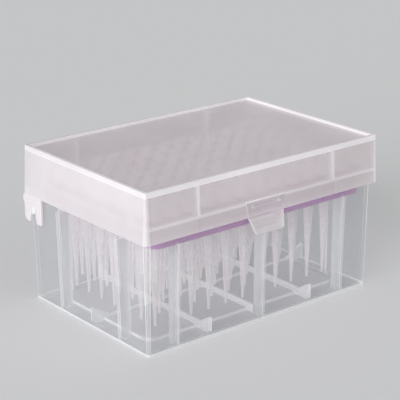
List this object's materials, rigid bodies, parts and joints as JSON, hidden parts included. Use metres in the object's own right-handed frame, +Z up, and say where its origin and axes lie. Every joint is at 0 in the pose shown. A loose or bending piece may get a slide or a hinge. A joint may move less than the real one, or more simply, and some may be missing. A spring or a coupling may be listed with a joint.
{
  "type": "box of pipette tips",
  "caption": "Clear hinged-lid rack box holding a coloured perforated deck and a grid of conical pipette tips.",
  "frame": {"origin": "centre of the underside, in the plane that the box stands on", "axes": "+X along the long side, +Y from the latch at the front to the hinge at the rear, +Z up"},
  "size_m": [0.124, 0.0878, 0.0678],
  "materials": {
    "base_plastic": "clear, slightly milky moulded polypropylene",
    "lid_plastic": "milky translucent moulded polypropylene",
    "deck_plastic": "purple moulded plastic",
    "tip_plastic": "clear moulded polypropylene"
  },
  "bodies": {
    "base": {"base": "base_plastic", "tip_deck": "deck_plastic", "tips_column_01": "tip_plastic", "tips_column_02": "tip_plastic", "tips_column_03": "tip_plastic", "tips_column_04": "tip_plastic", "tips_column_05": "tip_plastic", "tips_column_06": "tip_plastic", "tips_column_07": "tip_plastic", "tips_column_08": "tip_plastic", "tips_column_09": "tip_plastic", "tips_column_10": "tip_plastic", "tips_column_11": "tip_plastic", "tips_column_12": "tip_plastic"},
    "lid": {"lid": "lid_plastic"}
  },
  "joints": [
    {"name": "lid_hinge", "type": "hinge", "parent": "base", "child": "lid", "pos_m": [0, 0.0351, 0.041], "axis": [-1, 0, 0], "range_deg": [0, 110]}
  ]
}
